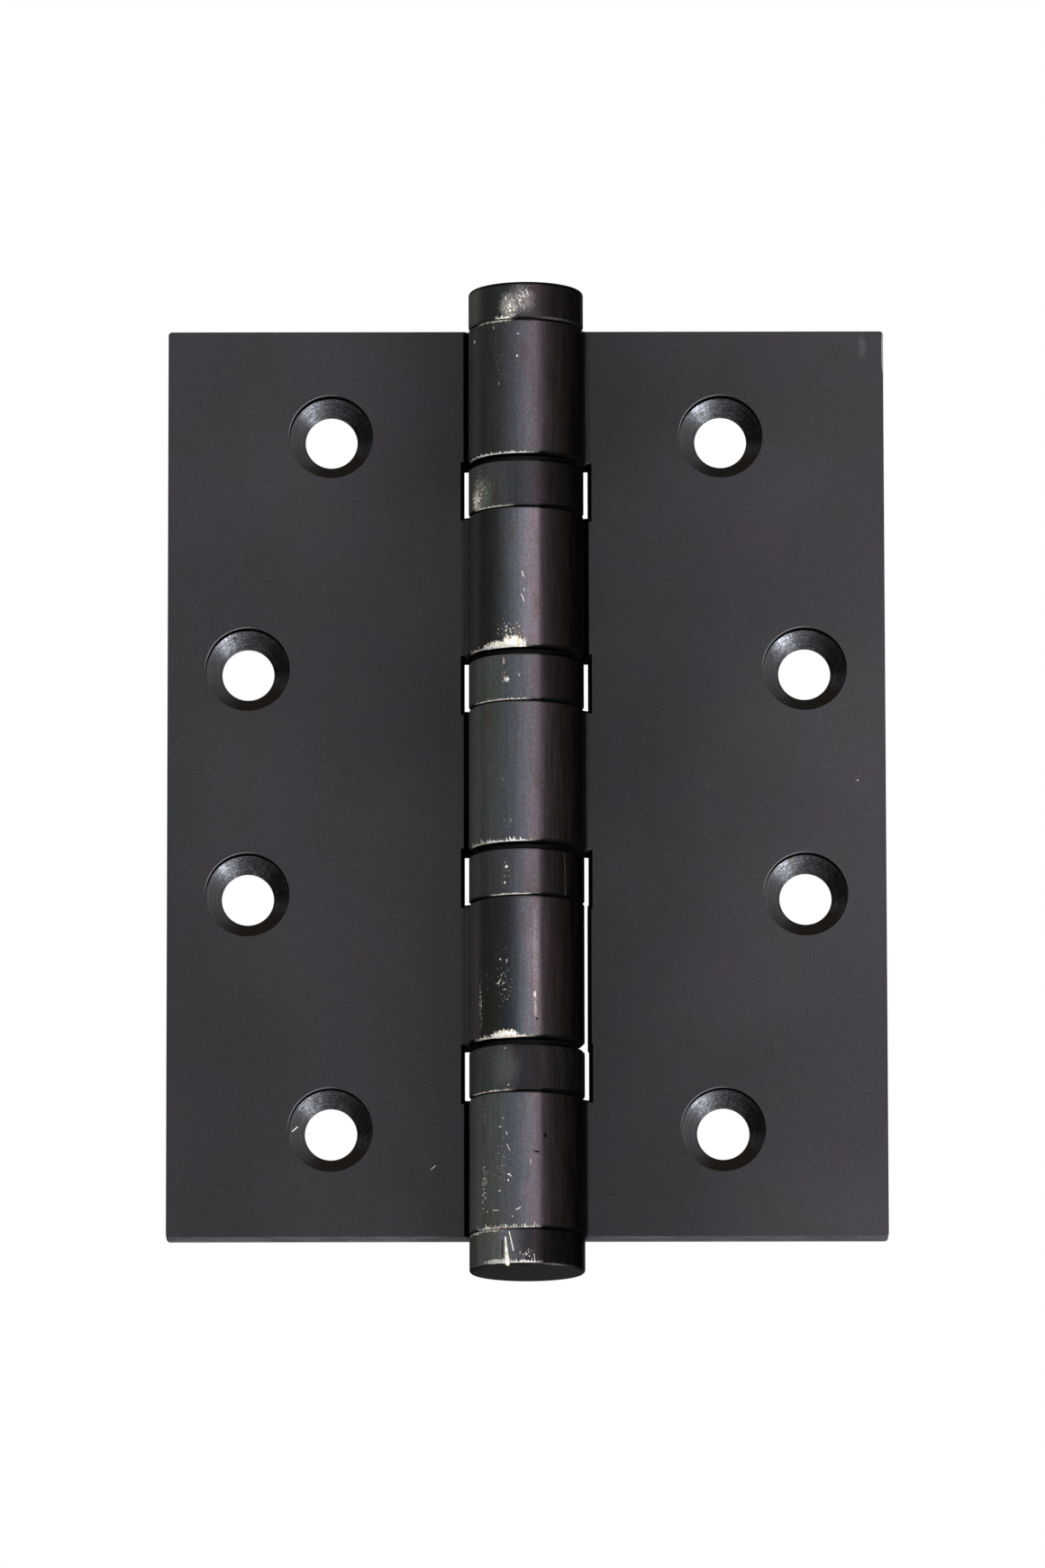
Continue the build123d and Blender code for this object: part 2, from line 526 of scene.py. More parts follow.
@dataclass(frozen=True)
class BareBrass:
    """The metal under the film, where it is rubbed through."""

    bright: Colour = colour(0.97, 0.95, 0.89)
    dull: Colour = colour(0.74, 0.66, 0.48)
    roughness: float = 0.50
    metallic: float = 0.6
    step_mm: float = -0.012

    def layer(self, graph: FinishGraph) -> Layer:
        """Bare metal, patchy between bright and dull, a film's thickness below the surface."""
        tint = graph.mix(graph.noise(1.6).ease(0.45, 0.66), self.bright, self.dull)
        return Layer(tint, self.roughness, self.metallic, self.step_mm)


@dataclass(frozen=True)
class SootAndShade:
    """Dull black: painted shade in the gaps and on the faces between two pieces, and grime in pits."""

    tint: Colour = colour(0.0040, 0.0035, 0.0030)
    roughness: float = 0.80
    grain_mm: float = 0.01

    def layer(self, graph: FinishGraph) -> Layer:
        """Rough, slightly uneven black.

        Args:
            graph: the material it goes into.
        Returns:
            The finish.
        """
        grain = graph.noise(3.0)
        tint = graph.shade(self.tint, grain.spread(0.6, 1.4))
        return Layer(tint, self.roughness, 1.0, grain * self.grain_mm)


@dataclass(frozen=True)
class PaintedLight:
    """Painted light and shade along one stretch of the barrel: how light the film is painted at its left
    side, its front and its right side.

    Its sheen level is how much painted dull sheen that stretch has next to the leaf, and `span_deg` is where
    the film goes over from its left level to its front one.
    """

    low_mm: float
    high_mm: float
    left: float
    front: float
    right: float = 1.0
    painted_sheen: float = 1.0
    span_deg: Span = (-42.0, -4.0)


@dataclass(frozen=True)
class BarrelFilm:
    """Satin oxide film of the turned pieces: knuckles, bearing shells and tips."""

    tones: Sequence[PaintedLight] = ()
    roughness: float = 0.22
    body: Colour = colour(0.080, 0.078, 0.081)
    left: Colour = colour(0.070, 0.080, 0.075)
    blue: Colour = colour(0.070, 0.077, 0.086)
    violet: Colour = colour(0.087, 0.075, 0.083)
    brown: Colour = colour(0.068, 0.056, 0.049)
    # Colour of the painted dull sheen on the left side.
    painted_sheen: Colour = colour(0.044, 0.043, 0.039)
    end: Colour = colour(0.0150, 0.0133, 0.0135)
    dull_roughness: float = 0.65
    roughness_swing: float = 0.06
    grain_mm: float = 0.0024
    streak_mm: float = 0.0012
    band_swing_deg: float = 50.0
    # Angles of the painted reflection tints round the barrel.
    painted_blue_deg: Span = (-36.0, -20.0)
    painted_violet_deg: Span = (-5.0, 9.0)
    # Where the film goes over into its painted shade on the right side.
    painted_shade_deg: Span = (11.0, 16.0)
    painted_sheen_deg: Span = (-42.0, -64.0)
    behind_deg: Span = (95.0, 140.0)
    behind_level: float = 0.6
    chamfer_rise_deg: Span = (-75.0, -5.0)
    chamfer_fall_deg: Span = (10.0, 17.0)
    chamfer_end_deg: Span = (17.0, 45.0)
    pinhole_deg: float = -32.0
    pinhole_spread_deg: Span = (42.0, 12.0)
    edge_level: float = 0.35

    def layer(self, graph: FinishGraph) -> Layer:
        """Mottled dark film with grain and streaks along the pin; painted light, hue and a dull sheen by
        angle, even behind.

        Args:
            graph: the material it goes into.
        Returns:
            The finish.
        """
        angle = graph.place.angle_deg
        cloud = graph.noise(0.11, 2.0)
        spots = graph.noise(0.55, 4.0, stretch=(1.0, 1.0, 0.35))
        grain = graph.noise(4.0, 3.0, 0.7)
        streaks = graph.noise(1.0, 3.0, stretch=(3.0, 3.0, 0.12))
        bands = graph.noise(0.9, 4.0, stretch=(1.0, 1.0, 0.2))
        moved = angle + (bands - NOISE_MEAN) * self.band_swing_deg
        grained = grain.ease(0.25, 0.75, 0.72, 1.28) * streaks.ease(0.25, 0.75, 0.88, 1.12)
        # Painted reflection tint by angle round the barrel: greenish on the left, then blue, then violet at
        # the front.
        tint = graph.mix(moved.ease(*self.painted_blue_deg), self.left, self.blue)
        tint = graph.mix(moved.ease(*self.painted_violet_deg), tint, self.violet)
        tint = graph.mix(cloud.ease(0.35, 0.65, 0.0, 0.6), tint, self.body)
        tint = graph.mix(spots.ease(0.52, 0.72, 0.0, 0.75), tint, self.brown)
        # Painted light and shade: each stretch of the barrel lighter or darker by its angle round it.
        tint = graph.shade(tint, grained * self._painted_light(graph))
        # Behind the barrel the painted light fades out into an even, darker film.
        behind = abs(angle).ease(*self.behind_deg)
        tint = graph.mix(behind, tint, graph.shade(self.body, grained * self.behind_level))
        swing = streaks.spread(-0.5, 0.5) + spots.spread(-0.5, 0.5)
        rough = swing * self.roughness_swing + self.roughness
        relief = grain * self.grain_mm + streaks * self.streak_mm
        # Painted sheen: a dull, lighter film on the left side next to the leaf, fading out behind.
        share = angle.ease(*self.painted_sheen_deg) * (1.0 - behind)
        sheen_level = self._by_height(graph, [tone.painted_sheen for tone in self.tones])
        dull = Layer(graph.shade(self.painted_sheen, grained * sheen_level), self.dull_roughness, 0.0, relief)
        return graph.lay(share, Layer(tint, rough, 1.0, relief), dull)

    def end_face(self, graph: FinishGraph) -> Layer:
        """Dull film of a tip's outer face, the same all round."""
        tint = graph.shade(self.end, graph.noise(2.0).spread(0.8, 1.2))
        return Layer(tint, self.dull_roughness, 0.0, 0.0)

    def dull(self, graph: FinishGraph) -> Layer:
        """Dull film of the chamfers with painted light, as light as the film beside it: rising to the front
        and painted shade past it.

        Args:
            graph: the material it goes into.
        Returns:
            The finish.
        """
        angle = graph.place.angle_deg
        # Painted light on the chamfers: lighter towards the front, painted shade past it.
        level = angle.ease(*self.chamfer_rise_deg, 0.25, 0.85) * angle.ease(*self.chamfer_fall_deg, 1.0, 0.1)
        level = level * angle.ease(*self.chamfer_end_deg, 1.0, 0.3) * self._painted_light(graph)
        return Layer(graph.shade(self.body, level), self.dull_roughness, 0.0, 0.0)

    def pinholes(self, graph: FinishGraph) -> Field:
        """Scattered pinholes in the film, more of them on the left of the barrel.

        Args:
            graph: the material it goes into.
        Returns:
            Above 0 in a pinhole, 0 elsewhere.
        """
        dots = graph.specks(0.9, 0.10, 0.30, (1.0, 1.0, 0.45))
        side = abs(graph.place.angle_deg - self.pinhole_deg).ease(*self.pinhole_spread_deg, 0.0, 0.6)
        return dots * side * graph.noise(0.18, 2.0).ease(0.45, 0.6)

    def _painted_light(self, graph: FinishGraph) -> Value:
        """Painted light and shade on the film: each stretch goes from its painted left level to its front
        one, then to its right one.

        Args:
            graph: the material it goes into.
        Returns:
            A factor on the film's colour.
        """
        angle = graph.place.angle_deg
        into_painted_shade = angle.ease(*self.painted_shade_deg)
        levels = []
        for tone in self.tones:
            level = angle.ease(*tone.span_deg, tone.left, tone.front)
            levels.append(graph.mix_value(into_painted_shade, level, tone.right))
        return self._by_height(graph, levels)

    def _by_height(self, graph: FinishGraph, levels: Sequence[Value]) -> Value:
        """Picks the level of the stretch that a point lies on.

        Args:
            graph: the material it goes into.
            levels: one value for each stretch.
        Returns:
            The value there, or 1 off all the stretches.
        """
        height = graph.place.z
        total: Value = 1.0
        for tone, level in zip(self.tones, levels):
            total = graph.mix_value((height > tone.low_mm) * (height < tone.high_mm), total, level)
        return total


@dataclass(frozen=True)
class BarrelFinish:
    """The whole finish of a turned piece: its film, its marks, and painted shade in black where it meets
    others.
    """

    film: BarrelFilm
    wear: Wear
    shaded_ends: bool = True
    brass: BareBrass = BareBrass()
    soot_and_shade: SootAndShade = SootAndShade()
    skin_mm: Span = (0.5, 0.42)
    chamfer_slope: Span = (0.35, 0.55)
    level_slope: Span = (0.80, 0.92)
    tip_end_slope: Span = (0.85, 0.97)
    # How far into the grooves between pieces the painted shade reaches.
    shaded_groove_depth_mm: Span = (0.17, 0.23)

    def layer(self, graph: FinishGraph) -> Layer:
        """Film, then chamfers with painted light and painted shade in black on the level faces and in the
        grooves, or a tip's dull end, then bare metal and pits.

        Args:
            graph: the material it goes into.
        Returns:
            The finish.
        """
        at = graph.place
        on = Unrolled.of(graph, Ground.BARREL)
        black = self.soot_and_shade.layer(graph)
        layer = self.film.layer(graph)
        if self.shaded_ends:
            chamfer = at.slope.ease(*self.chamfer_slope)
            # Chamfers take the film's dull layer with its painted light.
            layer = graph.lay(chamfer, layer, self.film.dull(graph))
            # Painted shade: black on the level faces between pieces and deep in the grooves between them.
            deep = chamfer * at.radius.ease(*(BARREL_RADIUS_MM - depth for depth in self.shaded_groove_depth_mm))
            layer = graph.lay(graph.highest((at.slope.ease(*self.level_slope), deep)), layer, black)
        else:
            layer = graph.lay(at.slope.ease(*self.tip_end_slope), layer, self.film.end_face(graph))
        on_skin = at.radius.ease(*(BARREL_RADIUS_MM - depth for depth in self.skin_mm))
        bare = graph.highest((self.wear.bare(on), self.film.pinholes(graph)))
        layer = graph.lay(bare * on_skin, layer, self.brass.layer(graph))
        return graph.lay(self.wear.dark(on), layer, black) if self.wear.pits else layer

    def material(self, name: str) -> bpy.types.Material:
        """The finish as a material of its own."""
        graph = FinishGraph(name)
        return graph.finish(self.layer(graph), self.film.edge_level)


@dataclass(frozen=True)
class LeafFilm:
    """Matte oxide film of the flat leaves, brushed along the pin."""

    body: Colour = colour(0.0322, 0.0327, 0.0345)
    violet: Colour = colour(0.0343, 0.0323, 0.0351)
    green: Colour = colour(0.0298, 0.0327, 0.0327)
    speck: Colour = colour(0.10, 0.10, 0.105)
    # Edge colour: rubbed film and a painted highlight.
    edge: Colour = colour(0.105, 0.105, 0.115)
    bare: Colour = colour(0.55, 0.54, 0.52)
    roughness: float = 0.55
    metallic: float = 0.85
    brush_mm: float = 0.0030
    # Spans of the painted light across the leaves, and its change with height on the left leaf.
    right_mm: Span = (8.0, 48.0)
    left_mm: Span = (8.0, 34.0)
    height_mm: Span = (-55.0, 45.0)
    eased_mm: Span = (-0.10, -0.04)
    speck_level: float = 0.5
    nick_level: float = 0.7

    def layer(self, graph: FinishGraph) -> Layer:
        """Matte film: mottling, brushing along Z, painted light across the leaf, pale specks, and rubbed
        edges with a painted highlight.

        Args:
            graph: the material it goes into.
        Returns:
            The finish.
        """
        at = graph.place
        slow = graph.noise(0.05, 2.0)
        mottle = graph.noise(0.22, 4.0, stretch=(1.0, 1.0, 0.6))
        brush = graph.noise(1.0, 3.0, stretch=(4.0, 4.0, 0.14))
        tint = graph.mix(slow.ease(0.38, 0.62), self.violet, self.green)
        tint = graph.mix(mottle.ease(0.35, 0.65), tint, self.body)
        tint = graph.shade(tint, brush.spread(0.94, 1.06) * graph.noise(3.2, 2.0).spread(0.90, 1.10))
        # Painted light: the right leaf lighter towards its outer edge and darker near the barrel; the left
        # leaf lighter outwards, less so towards the bottom.
        painted_light_right = at.x.ease(*self.right_mm, 0.85, 1.40)
        painted_light_left = (at.x * -1.0).ease(*self.left_mm, 0.0, 0.25) * at.z.ease(*self.height_mm, 0.55, 1.15)
        patchy = graph.noise(0.03, 1.0).ease(0.35, 0.65, 0.92, 1.08)
        tint = graph.shade(tint, (painted_light_right + painted_light_left) * patchy)
        tint = graph.mix(graph.specks(0.45, 0.09, 0.45) * self.speck_level, tint, self.speck)
        # Edges rubbed pale, partly wear and partly a painted highlight, at the ends and the outer side.
        on_end = (abs(at.z) - BARREL_TOP_MM).ease(*self.eased_mm)
        on_side = (abs(at.x) - LEAF_REACH_MM).ease(*self.eased_mm, 0.0, 0.30)
        worn_and_lit = graph.highest((on_end * mottle.ease(0.35, 0.65, 0.55, 1.0), on_side))
        tint = graph.mix(worn_and_lit, tint, self.edge)
        tint = graph.mix(graph.specks(1.1, 0.16, 0.22) * on_end * self.nick_level, tint, self.bare)
        rough = brush.spread(self.roughness - 0.04, self.roughness + 0.04)
        return Layer(tint, rough, self.metallic, brush * self.brush_mm)


@dataclass
class HolePlace:
    """Where a shaded point lies from the nearest hole's axis: its direction (x, z, 0) and its distance."""

    toward: Field
    distance: Field


@dataclass(frozen=True)
class CountersinkTurning:
    """Turned cones of the screw holes, with rings round each hole's axis, and a rubbed arc on the rim that is
    also a painted highlight.
    """

    body: Colour = colour(0.115, 0.118, 0.132)
    stain: Colour = colour(0.052, 0.044, 0.039)
    # Colour of the painted dull sheen on the cone's left side.
    left_sheen: Colour = colour(0.046, 0.046, 0.048)
    brown: Colour = colour(0.016, 0.013, 0.011)
    # Mouth wall colour: near black, painted shade in the recess.
    wall: Colour = colour(0.0040, 0.0040, 0.0040)
    # Colour of the rim arc: rubbed film and a painted highlight.
    rubbed: Colour = colour(0.26, 0.26, 0.27)
    rim_mm: float = 0.09
    near_hole_mm: Span = (27.0, 48.6)
    far_hole_mm: Span = (38.5, 15.8)
    mouth_radius_mm: float = 5.8
    roughness: float = 0.41
    matte_roughness: float = 0.7
    ring_mm: float = 0.010
    scuff_level: float = 2.0
    # The lit side, upper left: the cones are painted darker away from it and the rubbed arc lies on it.
    lit_side: Triple = (-0.64, 0.77, 0.0)
    sheen_side: Triple = (-0.94, -0.34, 0.0)
    brown_side: Triple = (0.34, -0.94, 0.0)

    def hole(self, graph: FinishGraph) -> HolePlace:
        """Finds the nearest hole's axis.

        Both leaves and both ends have the same holes, so the offset comes from |x| and |z|, turned back.

        Args:
            graph: the material it goes into.
        Returns:
            The direction from the axis and the distance in millimetres.
        """
        at = graph.place
        x, z = abs(at.x), abs(at.z)
        side, end = graph.math("SIGN", at.x), graph.math("SIGN", at.z)
        near, far = (graph.vector((x - reach) * side, (z - half_spacing) * end, 0.0)
                     for reach, half_spacing in (self.near_hole_mm, self.far_hole_mm))
        nearer = graph.length(far) < graph.length(near)
        offset = graph.add("Mix", {0: nearer, 4: near, 5: far}, 1, data_type="VECTOR")
        return HolePlace(graph.add("VectorMath", {0: offset}, operation="NORMALIZE"), graph.length(offset))

    def layer(self, graph: FinishGraph, hole: HolePlace) -> Layer:
        """Uneven rings round the hole with painted shade to the lower right, a painted dull sheen on the
        left, dark brown on the lower side, and the mouth wall painted black as shade.

        Args:
            graph: the material it goes into.
            hole: where the point lies from the hole.
        Returns:
            The finish.
        """
        rings = graph.noise(3.2, 2.0, point=graph.vector(hole.distance, 0.0, 0.0))
        patchy = graph.noise(0.9, 4.0, 0.65)
        grain = graph.noise(3.5, 2.0)
        scuffs = abs(graph.noise(1.1, 2.0) - NOISE_MEAN).ease(0.035, 0.0, 1.0, self.scuff_level)
        ringed = rings.spread(0.55, 1.45) * grain.spread(0.7, 1.3) * scuffs
        tint = graph.mix(patchy.ease(0.45, 0.75), self.body, self.stain)
        # Painted shade: each cone darker towards its lower right, lightest on its upper left.
        lit = graph.dot(hole.toward, self.lit_side).ease(-0.1, 0.85, 0.28, 1.0)
        tint = graph.shade(tint, ringed * lit)
        rough = patchy.spread(self.roughness - 0.06, self.roughness + 0.06)
        relief = (rings + patchy + grain) * self.ring_mm
        # Painted sheen: a dull, lighter film on the cone's left side.
        sheened = graph.dot(hole.toward, self.sheen_side).ease(0.30, 0.85)
        # Dark brown on the cone's lower side.
        browned = graph.dot(hole.toward, self.brown_side).ease(0.25, 0.85)
        sheen_and_brown = graph.mix(browned, graph.shade(self.left_sheen, rings.spread(0.65, 1.35)), self.brown)
        over = Layer(sheen_and_brown, self.matte_roughness, 0.0, relief)
        layer = graph.lay(graph.highest((sheened, browned)), Layer(tint, rough, 1.0, relief), over)
        # Painted shade: the mouth wall inside each hole near black.
        on_wall = hole.distance.ease(self.mouth_radius_mm - 0.06, self.mouth_radius_mm - 0.03)
        return graph.lay(on_wall, layer, Layer(self.wall, self.matte_roughness, 1.0, 0.0))

    def inside(self, graph: FinishGraph, hole: HolePlace) -> Field:
        """1 within a hole's mouth, 0 on the leaf and its back."""
        in_mouth = hole.distance.ease(self.mouth_radius_mm + 0.02, self.mouth_radius_mm - 0.01)
        return in_mouth * graph.place.front.ease(-0.5, -0.2)

    def rim(self, graph: FinishGraph, hole: HolePlace) -> Field:
        """The rubbed arc round the mouth on the leaf's face, a painted highlight strongest at the upper left.

        Args:
            graph: the material it goes into.
            hole: where the point lies from the hole.
        Returns:
            Above 0 on the arc, 0 elsewhere.
        """
        outside = abs(hole.distance - (self.mouth_radius_mm + self.rim_mm))
        facing = graph.dot(hole.toward, self.lit_side).ease(0.55, 0.95, 0.0, 0.6)
        on_face = graph.place.front.ease(0.3, 0.6)
        return outside.ease(self.rim_mm - 0.02, 0.5 * self.rim_mm) * facing * on_face


@dataclass(frozen=True)
class PlateFinish:
    """The whole finish of a leaf's plate: film, countersinks, marks, and painted shade in black on the walls
    of the gaps.
    """

    wear: Wear
    film: LeafFilm = LeafFilm()
    turning: CountersinkTurning = CountersinkTurning()
    brass: BareBrass = BareBrass()
    soot_and_shade: SootAndShade = SootAndShade()
    gap_reach_mm: float = 1.9
    gap_start_mm: Span = (1.01, 1.05)
    back_y_mm: float = 5.7
    off_barrel_mm: float = 0.1
    off_end_mm: float = 0.15

    def layer(self, graph: FinishGraph) -> Layer:
        """Film with turned countersinks, rubbed arcs with a painted highlight round them, and the marks.

        Args:
            graph: the material it goes into.
        Returns:
            The finish.
        """
        hole = self.turning.hole(graph)
        cones = self.turning.layer(graph, hole)
        layer = graph.lay(self.turning.inside(graph, hole), self.film.layer(graph), cones)
        # Painted highlight: a light arc round each mouth on its upper left.
        layer.colour = graph.mix(self.turning.rim(graph, hole), layer.colour, self.turning.rubbed)
        marks = self.wear.bare(Unrolled.of(graph, Ground.PLATE)) * graph.place.front.ease(0.1, 0.4)
        return graph.lay(marks, layer, self.brass.layer(graph))

    def gap(self, graph: FinishGraph) -> Field:
        """Finds the walls of the gaps, which are painted black as shade: behind the leaf's face, close to the
        barrel but not on it.

        Args:
            graph: the material it goes into.
        Returns:
            1 on such a wall, 0 elsewhere.
        """
        at = graph.place
        behind = at.y.ease(*self.gap_start_mm)
        near = abs(at.x) < BARREL_RADIUS_MM + self.gap_reach_mm
        off_barrel = at.radius > BARREL_RADIUS_MM + self.off_barrel_mm
        between_ends = abs(at.z) < BARREL_TOP_MM - self.off_end_mm
        return behind * (at.y < self.back_y_mm) * near * off_barrel * between_ends


@dataclass(frozen=True)
class TurnedMetal:
    """Bare turned or ground metal of the pieces inside: pin, races, cages and balls."""

    tint: Colour
    roughness: float
    ring_mm: float

    def material(self, name: str) -> bpy.types.Material:
        """Metal with fine rings along the pin and a faint stain.

        Args:
            name: the material's name.
        Returns:
            The material.
        """
        graph = FinishGraph(name)
        rings = graph.noise(6.0, 3.0, point=graph.vector(graph.place.z, graph.place.radius, 0.0))
        tint = graph.shade(self.tint, graph.noise(0.8, 3.0).spread(0.85, 1.05))
        rough = rings.spread(self.roughness - 0.05, self.roughness + 0.05)
        return graph.finish(Layer(tint, rough, 1.0, rings * self.ring_mm))


def dress(node: str, material: bpy.types.Material) -> None:
    """Puts a material in a frame node's slot."""
    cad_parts[node].data.materials[0] = material


@dataclass
class Leaf:
    """One leaf with its knuckles, a node of the frame."""

    node: str
    knuckles: BarrelFinish
    plate: PlateFinish
    root_start_mm: float = 0.02
    root_end_mm: float = 0.8

    def dress(self) -> None:
        """Gives the leaf its finish: matte on the plate, satin on the knuckles, painted shade in black in the
        gaps.
        """
        graph = FinishGraph(f"{self.node}_finish")
        root_mm = (BARREL_RADIUS_MM + self.root_end_mm, BARREL_RADIUS_MM + self.root_start_mm)
        on_knuckle = graph.place.radius.ease(*root_mm)
        layer = graph.lay(on_knuckle, self.plate.layer(graph), self.knuckles.layer(graph))
        # Painted shade: black on the walls of the gaps beside the barrel.
        layer = graph.lay(self.plate.gap(graph), layer, self.plate.soot_and_shade.layer(graph))
        dress(self.node, graph.finish(layer, self.knuckles.film.edge_level))
        log.info("%s dressed: %d marks", self.node, self.knuckles.wear.count() + self.plate.wear.count())


@dataclass
class Bearing:
    """One thrust bearing: shell, two races, cage and balls, all nodes of the frame."""

    number: int
    shell: BarrelFinish
    # Races near black: painted shade in the groove between each knuckle and its bearing shell.
    shaded_race_steel: TurnedMetal = TurnedMetal(colour(0.012, 0.012, 0.012), 0.60, 0.002)
    cage_brass: TurnedMetal = TurnedMetal(colour(0.66, 0.50, 0.24), 0.34, 0.003)
    ball_steel: TurnedMetal = TurnedMetal(colour(0.75, 0.75, 0.77), 0.08, 0.0)

    def dress(self) -> None:
        """Gives each of the bearing's pieces its finish."""
        name = f"bearing_{self.number}"
        finishes = {
            "shell": self.shell,
            "lower_race": self.shaded_race_steel,
            "upper_race": self.shaded_race_steel,
            "cage": self.cage_brass,
            "balls": self.ball_steel,
        }
        for piece, finish in finishes.items():
            dress(f"{name}_{piece}", finish.material(f"{name}_{piece}_finish"))
        log.info("%s dressed: %d pieces", name, len(finishes))


@dataclass
class Pin:
    """The plain pin through the barrel, a node of the frame."""

    node: str = "hinge_pin"
    steel: TurnedMetal = TurnedMetal(colour(0.56, 0.56, 0.57), 0.25, 0.002)

    def dress(self) -> None:
        """Gives the pin its ground finish."""
        dress(self.node, self.steel.material(f"{self.node}_finish"))
        log.info("%s dressed", self.node)


def revolve(profile: np.ndarray, segments: int, twist: np.ndarray) -> Tuple[np.ndarray, np.ndarray]:
    """A closed surface of revolution about Z whose radius may also wave with the angle.

    Row i and column j of the grid lie at the angle a = 2 pi j / segments, at the radius r(i) + twist(i, j)
    and the height z(i). The first and last profile points lie on the axis and become the two poles.

    Args:
        profile: radius and height of each point from pole to pole, outside to the right of the way.
        segments: columns round the axis.
        twist: what is added to the radius at each inner row and column.
    Returns:
        The vertices, and the faces as quads, with a triangle's last corner repeated at the poles.
    """
    angles = np.arange(segments) * FULL_TURN / segments
    radius = profile[1:-1, :1] + twist
    height = np.repeat(profile[1:-1, 1:], segments, axis=1)
    ring = np.stack([radius * np.cos(angles), radius * np.sin(angles), height], axis=-1).reshape(-1, 3)
    poles = np.array([[0.0, 0.0, profile[0, 1]], [0.0, 0.0, profile[-1, 1]]])
    rows = len(profile) - 2
    index = np.arange(rows * segments).reshape(rows, segments)
    after = np.roll(index, -1, axis=1)
    quads = np.stack([index[:-1], index[1:], after[1:], after[:-1]], axis=-1).reshape(-1, 4)
    first, last = rows * segments, rows * segments + 1
    cap = np.stack([np.full(segments, first), index[0], after[0], after[0]], axis=-1)
    base = np.stack([np.full(segments, last), after[-1], index[-1], index[-1]], axis=-1)
    return np.concatenate([ring, poles]), np.concatenate([quads, cap, base])


def mesh_object(name: str, vertices: np.ndarray, faces: np.ndarray) -> bpy.types.Object:
    """Puts computed arrays into a smooth mesh object at the origin.

    Args:
        name: the piece's name.
        vertices: one row of coordinates for each vertex, in metres.
        faces: four vertex numbers for each face; a triangle repeats its last one.
    Returns:
        The object, linked to the scene.
    """
    mesh = bpy.data.meshes.new(name)
    triangles = faces[:, 2] == faces[:, 3]
    rows = faces[~triangles].tolist() + faces[triangles][:, :3].tolist()
    mesh.from_pydata(vertices.tolist(), [], rows)
    mesh.update()
    mesh.shade_smooth()
    item = bpy.data.objects.new(name, mesh)
    bpy.context.scene.collection.objects.link(item)
    return item


@dataclass
class Tip:
    """A turned button with a threaded stud, which stands for the frame's plain tip."""

    node: str
    finish: BarrelFinish
    rim_radius: float = 0.5 * MM
    seat_chamfer: float = 0.25 * MM
    stud_radius: float = 2.5 * MM
    stud_chamfer: float = 0.5 * MM
    thread_pitch: float = 0.8 * MM
    thread_depth: float = 0.4 * MM
    segments: int = 160
    face_rows: int = 24
    rim_rows: int = 14
    side_rows: int = 10
    stud_rows: int = 120
    crease_deg: float = 40.0

    def profile(self, seat: float, end: float, stud_end: float) -> np.ndarray:
        """The half section: end face, quarter-round rim, side, seat, stud and the stud's chamfered end.

        Args:
            seat: height of the face on the barrel.
            end: height of the outer face.
            stud_end: height of the stud's inner end.
        Returns:
            Radius and height of each point from the outer pole to the inner one.
        """
        out = math.copysign(1.0, end - seat)
        radius = BARREL_RADIUS_MM * MM
        face = np.linspace(0.0, radius - self.rim_radius, self.face_rows)
        turn = np.linspace(0.0, math.pi / 2, self.rim_rows)[1:]
        side = np.linspace(end - out * self.rim_radius, seat + out * self.seat_chamfer, self.side_rows)[1:]
        seat_face = np.linspace(radius - self.seat_chamfer, self.stud_radius, self.side_rows)
        stud = np.linspace(seat, stud_end + out * self.stud_chamfer, self.stud_rows)[1:]
        parts = [
            np.stack([face, np.full_like(face, end)], axis=1),
            np.stack([radius - self.rim_radius * (1.0 - np.sin(turn)),
                      end - out * self.rim_radius * (1.0 - np.cos(turn))], axis=1),
            np.stack([np.full_like(side, radius), side], axis=1),
            np.stack([seat_face, np.full_like(seat_face, seat)], axis=1),
            np.stack([np.full_like(stud, self.stud_radius), stud], axis=1),
            np.array([[self.stud_radius - self.stud_chamfer, stud_end], [0.0, stud_end]]),
        ]
        return np.concatenate(parts)

    def thread(self, profile: np.ndarray, seat: float, end: float) -> np.ndarray:
        """How deep the thread cuts into the stud at each row and column.

        The cut is a rounded wave of the height along the axis less the pitch for each full turn, faded out
        over one pitch at both ends of the stud.

        Args:
            profile: the half section.
            seat: height of the face on the barrel.
            end: height of the outer face.
        Returns:
            What is added to the radius, never above 0.
        """
        out = math.copysign(1.0, end - seat)
        height = profile[1:-1, 1:]
        depth_in = out * (seat - height)
        stud = (np.abs(profile[1:-1, :1] - self.stud_radius) < 1e-9) & (depth_in > 0.0)
        stud_length = depth_in.max() - self.stud_chamfer
        fade = np.clip(np.minimum(depth_in, stud_length - depth_in) / self.thread_pitch, 0.0, 1.0)
        angles = np.arange(self.segments)[None, :] * FULL_TURN / self.segments
        wave = 0.5 + 0.5 * np.cos(FULL_TURN * height / self.thread_pitch - angles)
        return np.where(stud, -self.thread_depth * fade * wave, 0.0)

    def build(self) -> None:
        """Builds the tip where the frame's node is, dresses it and lets it ride on the frame leaf's body."""
        low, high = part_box(self.node)
        at_top = high.z > BARREL_TOP
        seat = BARREL_TOP if at_top else -BARREL_TOP
        end, stud_end = (high.z, low.z) if at_top else (low.z, high.z)
        profile = self.profile(seat, end, stud_end)
        vertices, faces = revolve(profile, self.segments, self.thread(profile, seat, end))
        if not at_top:
            faces = faces[:, [1, 0, 3, 2]]
        item = mesh_object(f"{self.node}_turned", vertices, faces)
        item.data.set_sharp_from_angle(angle=math.radians(self.crease_deg))
        item.data.materials.append(self.finish.material(f"{self.node}_finish"))
        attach(item, "frame_side")
        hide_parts(self.node)
        log.info("%s: %d faces", item.name, len(item.data.polygons))


